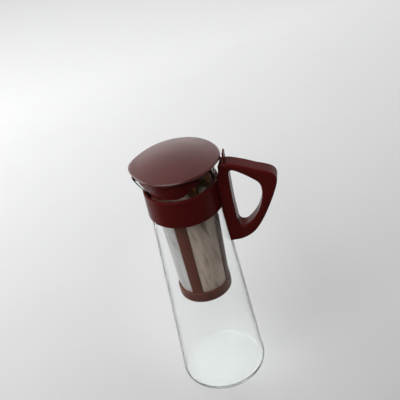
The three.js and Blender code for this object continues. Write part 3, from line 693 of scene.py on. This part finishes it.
class Value:
    """A socket in a material. Arithmetic on it adds Math nodes."""

    def __init__(self, tree, socket):
        self.tree, self.socket = tree, socket

    def node(self, kind, settings=None, values=None, output=0):
        """Adds a node of a type, sets its settings and then its sockets, and returns one of its outputs."""
        made = self.tree.nodes.new(kind)
        for name, setting in (settings or {}).items():
            setattr(made, name, setting)
        for name, value in (values or {}).items():
            if isinstance(value, Value):
                self.tree.links.new(value.socket, made.inputs[name])
            elif isinstance(value, tuple) and made.inputs[name].type == "RGBA":
                made.inputs[name].default_value = (*value, 1)
            else:
                made.inputs[name].default_value = value
        return Value(self.tree, made.outputs[output])

    def math(self, operation, *others):
        """A Math node of this value and the others after it."""
        return self.node("ShaderNodeMath", {"operation": operation}, dict(enumerate((self, *others))))

    def __add__(self, other):
        return self.math("ADD", other)

    def __sub__(self, other):
        return self.math("SUBTRACT", other)

    def __rsub__(self, other):
        return self.node("ShaderNodeMath", {"operation": "SUBTRACT"}, {0: other, 1: self})

    def __mul__(self, other):
        return self.math("MULTIPLY", other)

    def larger(self, other):
        """The larger of the two."""
        return self.math("MAXIMUM", other)

    def between(self, low, high):
        """0 at and below low, 1 at and above high, eased between them."""
        settings = {"interpolation_type": "SMOOTHSTEP"}
        return self.node("ShaderNodeMapRange", settings, {"Value": self, "From Min": low, "From Max": high})

    def blend(self, first, second):
        """A colour mixed from two by this value."""
        return self.node("ShaderNodeMix", {"data_type": "RGBA"}, {0: self, 6: first, 7: second}, 2)

    def mixed(self, first, second):
        """A shader mixed from two by this value."""
        return self.node("ShaderNodeMixShader", values={0: self, 1: first, 2: second})

    def bump(self, strength, distance, **others):
        """A normal that this value raises by up to a distance in metres."""
        values = {"Height": self, "Strength": strength, "Distance": distance}
        return self.node("ShaderNodeBump", values=values | others)

    def parts(self):
        """The X, Y and Z of this vector."""
        return [self.node("ShaderNodeSeparateXYZ", values={"Vector": self}, output=i) for i in range(3)]


def new_material(name):
    """An empty material, the place on the object in metres, and that place's parts."""
    material = bpy.data.materials.new(name)
    material.use_nodes = True
    material.node_tree.nodes.clear()
    place = Value(material.node_tree, None).node("ShaderNodeTexCoord", output="Object")
    return material, place, place.parts()


def put_out(surface):
    """Makes a shader the material's surface."""
    made = surface.tree.nodes.new("ShaderNodeOutputMaterial")
    surface.tree.links.new(surface.socket, made.inputs["Surface"])


def noise(place, scale, detail=2.0, roughness=0.5, stretch=(1, 1, 1)):
    """Smooth noise over the object, about 1 in scale metres coarse, stretched by each axis."""
    if stretch != (1, 1, 1):
        place = place.node("ShaderNodeVectorMath", {"operation": "MULTIPLY"}, {0: place, 1: stretch})
    values = {"Vector": place, "Scale": scale, "Detail": detail, "Roughness": roughness}
    return place.node("ShaderNodeTexNoise", values=values)


def beside_and_behind(x, y):
    """How far to the right of the pot and how far behind it a place lies, as the camera sees it."""
    turn = np.radians(VIEW_TURN)
    right, away = float(np.cos(turn)), float(np.sin(turn))
    return x * right + y * away, y * right - x * away


def moulded_plastic(name, light, dark, roughness, grain, grain_depth, shine, polished_below=0.0, painted_inner_light=None):
    """Coloured plastic: a slow drift between two near colours, a fine moulded grain in the surface, faint hazier
    patches where it is handled, a smoother finish below a height, and, if given, a lighter colour painted inside
    above a height, as painted light."""
    material, place, (x, y, z) = new_material(name)
    colour = noise(place, 22, 3).between(0.3, 0.7).blend(dark, light)
    # Painted light: a lighter colour inside, above a height, lifts the shade there.
    if painted_inner_light:
        inside = 1 - (x * x + y * y).between(INNER_LIGHT_RADIUS**2, (INNER_LIGHT_RADIUS + 0.0006) ** 2)
        colour = (z.between(INNER_LIGHT_FOOT, INNER_LIGHT_FOOT + 0.002) * inside).blend(colour, painted_inner_light)
    haze = noise(place, 60, 4, 0.6).between(0.35, 0.75)
    unpolished = (z - polished_below).between(-0.0001, 0.0004)
    put_out(place.node("ShaderNodeBsdfPrincipled", values={
        "Base Color": colour,
        "Roughness": haze * 0.08 + unpolished * POLISH + (roughness - POLISH),
        "Specular IOR Level": shine,
        "Normal": noise(place, grain, 2, 0.6).bump(grain_depth, 0.0001),
    }))  # fmt: skip
    return material


def clear_glass():
    """Clear glass with the faintest green-grey and slow ripples, fainter in the neck, which lets the lamps' light
    through. A share of it only bends light: the part that faces the eye, and all of the mouth on the spout's
    side, where the lid's dark skirt stands behind it. Its lip is tinted dark brown as painted shade and a painted
    reflection of the brown lid above it. Edge on, and outside the mouth, it turns partly see-through, so that its
    outline stays faint."""
    material, place, (x, _, z) = new_material("clear glass")
    ripple = noise(place, 28, 2, 0.5, (1, 1, 0.45)) * (1 - z.between(*RIPPLE_FADE_HEIGHTS) * RIPPLE_FADE)
    smooth = {"Roughness": 0.0, "IOR": GLASS_IOR, "Normal": ripple.bump(0.25, 0.0012)}
    mirroring = place.node("ShaderNodeBsdfPrincipled", values={
        "Base Color": GLASS_TINT, "Transmission Weight": 1.0, **smooth
    })  # fmt: skip
    bending = place.node("ShaderNodeBsdfRefraction", values={"Color": GLASS_TINT, **smooth})
    # The lip's dark brown colour is painted shade and a painted reflection of the lid above it.
    lip = place.node("ShaderNodeBsdfRefraction", values={"Color": LIP_PAINTED_SHADE, **smooth})
    open_way = place.node("ShaderNodeBsdfTransparent", values={"Color": CLEAR_TINT})
    edge_on = place.node("ShaderNodeLayerWeight", values={"Blend": 0.5}, output="Facing")
    shadow = place.node("ShaderNodeLightPath", output="Is Shadow Ray")
    mouth = z.between(*MOUTH_HEIGHTS) * (1 - x.between(*MOUTH_SIDES))
    glass = mouth.larger((1 - edge_on) * 0.6).mixed(mirroring, bending)
    glass = (z.between(*LIP_HEIGHTS) * 0.8).mixed(glass, lip)
    see_through = edge_on.between(0.72, 1.0) * 0.65 * (1 - mouth)
    put_out(shadow.larger(see_through).mixed(glass, open_way))
    return material


def woven_mesh():
    """Fine woven mesh: two sets of round threads, one round the strainer and one up it, with open squares
    between them. It is creased on a slant, with pale patches that are partly random tone and partly painted
    light on the folds of the creases. It is browned by coffee, painted paler and greyer on the spout's side as
    painted light, and painted darker at the top of the back as painted shade, where it also lets the least
    light through."""
    material, place, (x, y, z) = new_material("filter mesh")
    turn = y.math("ARCTAN2", x)
    girth = STRAINER_FOOT_RADIUS * METRE
    along, up = turn * (girth / THREAD_PITCH), z * (1 / THREAD_PITCH)
    thread = (along * (2 * np.pi)).math("COSINE").larger((up * (2 * np.pi)).math("COSINE"))
    slant = place.node("ShaderNodeCombineXYZ", values={0: turn * girth + z * 0.2, 1: z * 0.11})
    creases = noise(slant, 125, 2.5, 0.55)
    # The pale patches are partly random tone and partly painted light on the folds that the crease bump raises.
    ridge = (1 - ((creases - 0.5) * 6.0).math("ABSOLUTE")).larger(0.0)
    patch = (creases * 1.2 + noise(place, 60, 3) * 0.8 + ridge * 0.4 - 0.15).between(0.6, 1.2)
    # Painted light: the spout's side of the mesh is painted paler and greyer.
    lit_side = (x * -1.0).between(-0.002, 0.014)
    # Painted shade: the top of the back of the mesh is darkened and glows less.
    painted_shade = z.between(*PAINTED_SHADE_HEIGHTS) * y.between(*PAINTED_SHADE_SIDES)
    colour = lit_side.blend(patch.blend(*BROWNED_MESH), patch.blend(*LIT_SIDE_MESH))
    cloth = place.node("ShaderNodeBsdfPrincipled", values={
        "Base Color": painted_shade.blend(colour, PAINTED_SHADE_MESH),
        "Roughness": 0.75,
        "Specular IOR Level": 0.25,
        "Normal": thread.bump(0.4, THREAD_HEIGHT, Normal=creases.bump(0.9, 0.004)),
    })  # fmt: skip
    glow = place.node("ShaderNodeBsdfTranslucent", values={"Color": MESH_GLOW})
    # The painted shade also cuts the mesh's glow there.
    threads = (0.45 - painted_shade * 0.13).mixed(cloth, glow)
    put_out(thread.between(-0.75, -0.45).mixed(place.node("ShaderNodeBsdfTransparent"), threads))
    return material


def metal(name, colour, roughness):
    """Machined metal with fine scratches."""
    material, place, _ = new_material(name)
    scratch = noise(place, 1500, 2, 0.6, (1, 0.1, 1))
    put_out(place.node("ShaderNodeBsdfPrincipled", values={
        "Base Color": colour,
        "Metallic": 1.0,
        "Roughness": scratch * 0.2 + roughness,
        "Normal": scratch.bump(0.3, 0.00005),
    }))  # fmt: skip
    return material


def floor_paint():
    """A pale floor, painted lightest at the back and a little darker to the right, as painted light. Over the
    strainer's shadow it is painted a little lighter, and in front of the pot, out of the camera's view, it is
    painted dark as painted shade, where the photographed room is dim."""
    material, place, (x, y, _) = new_material("pale floor")
    beside, behind = beside_and_behind(x, y)
    off = behind - SHADOW_MIDDLE
    shade = 1 - (beside * beside * SHADOW_SQUEEZE + off * off).between(0.0, SHADOW_SIZE)
    # Painted light: the tone is lighter at the back, darker to the right, and lighter over the strainer's shadow.
    tone = behind * FLOOR_BEHIND - beside * FLOOR_BESIDE + shade * FLOOR_SHADE
    tone = tone + noise(place, 9, 2) * FLOOR_MOTTLE + FLOOR_LEVEL
    in_view = (behind + beside * ROOM_SLANT).between(*ROOM_EDGE)
    put_out(place.node("ShaderNodeBsdfPrincipled", values={
        "Base Color": in_view.blend(ROOM_FLOOR, tone.blend(FLOOR_DARK, FLOOR_PALE)),
        "Roughness": 0.9,
        "Specular IOR Level": 0.1,
    }))  # fmt: skip
    return material


# Making the pieces


def make(name, surface, material, body=None, nodes=()):
    """A mesh object of the surface, in metres, shaded smooth but for its sharp edges. With a body, it is a piece
    that rides on it and replaces CAD nodes."""
    points, faces = surface
    mesh = bpy.data.meshes.new(name)
    mesh.from_pydata((points * METRE).tolist(), [], faces)
    mesh.validate()
    mesh.shade_smooth()
    mesh.set_sharp_from_angle(angle=SHARP_ANGLE)
    mesh.materials.append(material)
    piece = bpy.data.objects.new(name, mesh)
    bpy.context.scene.collection.objects.link(piece)
    if body:
        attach(piece, body)
        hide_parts(*nodes)
    return piece


gloss = moulded_plastic(
    "brown gloss plastic",
    light=(0.082, 0.007, 0.006), dark=(0.068, 0.0058, 0.005), roughness=0.22, grain=900, grain_depth=0.05,
    shine=0.06,
)  # fmt: skip
satin = moulded_plastic(
    "brown satin plastic",
    light=(0.085, 0.0125, 0.0105), dark=(0.075, 0.011, 0.009), roughness=0.34, grain=2600, grain_depth=0.35,
    shine=0.5, polished_below=0.29,
)  # fmt: skip
# The cage's lighter amber inside the collar and the ribs' tops is painted light.
cage = moulded_plastic(
    "brown frame plastic",
    light=(0.098, 0.0285, 0.0185), dark=(0.085, 0.0245, 0.0155), roughness=0.45, grain=2200, grain_depth=0.2,
    shine=0.15, painted_inner_light=(0.32, 0.155, 0.045),
)  # fmt: skip
weave = woven_mesh()

make("jug", jug_surface(), clear_glass(), "jug", ["glass_jug"])
make("band", band_surface(), gloss, "jug", ["neck_band"])
make("loop_handle", handle_surface(), gloss, "jug", ["handle"])
make("plug", plug_surface(), gloss, "jug", ["screw_plug"])
make("cover", cover_surface(), satin, "lid", ["lid_cover"])
make("skirt", skirt_surface(), gloss, "lid", ["lid_skirt"])

rib_angles = STRAINER_TURN + np.arange(RIBS) * 2 * np.pi / RIBS
cage_surface = joined(collar_surface(), cup_surface(), *[rib_surface(angle) for angle in rib_angles])
make("cage", cage_surface, cage, "strainer", ["strainer_frame"])
for number, angle in enumerate(rib_angles + np.pi / RIBS, 1):
    make(f"mesh_{number}", panel_surface(angle), weave, "strainer", [f"mesh_panel_{number}"])

for node, material in (
    ("clamp_screw", metal("steel", (0.62, 0.62, 0.63), 0.25)),
    ("clamp_insert", metal("brass", (0.72, 0.52, 0.22), 0.3)),
):
    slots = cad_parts[node].data.materials
    slots.clear()
    slots.append(material)


# Floor, light and camera


def make_floor():
    """A flat square, 6 m wide, just under the jug."""
    corners = [(-1, -1), (1, -1), (1, 1), (-1, 1)]
    points = np.array([(x * FLOOR_HALF, y * FLOOR_HALF, -FLOOR_DROP) for x, y in corners])
    floor = make("floor", (points, [[0, 1, 2, 3]]), floor_paint())


def area_light(name, place, target, size, power):
    """A square soft white light at a place that faces a target."""
    data = bpy.data.lights.new(name, "AREA")
    data.energy, data.size = power, size
    lamp = bpy.data.objects.new(name, data)
    lamp.location = place
    lamp.rotation_euler = (Vector(target) - Vector(place)).to_track_quat("-Z", "Y").to_euler()
    bpy.context.scene.collection.objects.link(lamp)


def make_world():
    """Even studio light all round: pale behind the pot, dimmer overhead, and dim on the camera's side."""
    world = bpy.data.worlds.new("room")
    world.use_nodes = True
    tree = world.node_tree
    x, y, z = Value(tree, None).node("ShaderNodeTexCoord", output="Generated").parts()
    _, behind = beside_and_behind(x, y)
    level = behind.between(*WORLD_DEPTHS) * (1.0 - WORLD_FRONT) + WORLD_FRONT
    level = level * (z.between(*WORLD_HEIGHTS) * (WORLD_TOP - 1.0) + 1.0) * WORLD_BACK
    background = tree.nodes["Background"]
    background.inputs["Color"].default_value = (1, 1, 1, 1)
    tree.links.new(level.socket, background.inputs["Strength"])
    bpy.context.scene.world = world


def make_camera():
    """The photograph's camera: it looks down at the pot from in front, a little to the handle's side, with the
    pot leaning to the left in its frame."""
    rise, lean, turn = np.radians([VIEW_RISE, VIEW_LEAN, VIEW_TURN])
    focal = FOCAL_LENGTH / PICTURE_WIDTH
    right = np.array([np.cos(turn), np.sin(turn), 0])
    away = np.array([-np.sin(turn), np.cos(turn), 0])
    up = np.sin(rise) * away + np.array([0, 0, np.cos(rise)])
    back = -np.cos(rise) * away + np.array([0, 0, np.sin(rise)])
    across = np.cos(lean) * right - np.sin(lean) * up
    upright = np.sin(lean) * right + np.cos(lean) * up
    middle = PICTURE_WIDTH / 2
    aside = np.array([BAND_TOP_PIXEL[0] - middle, middle - BAND_TOP_PIXEL[1]]) / PICTURE_WIDTH / focal * VIEW_DISTANCE
    place = np.array([0, 0, BAND_TOP * METRE]) - aside[0] * across - aside[1] * upright + VIEW_DISTANCE * back
    data = bpy.data.cameras.new("camera")
    data.sensor_width, data.lens = SENSOR_WIDTH, SENSOR_WIDTH * focal
    camera = bpy.data.objects.new("camera", data)
    camera.matrix_world = Matrix.Translation(place) @ Matrix(np.stack([across, upright, back], 1)).to_4x4()
    bpy.context.scene.collection.objects.link(camera)
    bpy.context.scene.camera = camera


make_floor()
make_world()
for name, settings in LAMPS.items():
    area_light(name, *settings)
make_camera()
bpy.context.scene.view_settings.view_transform = "Standard"
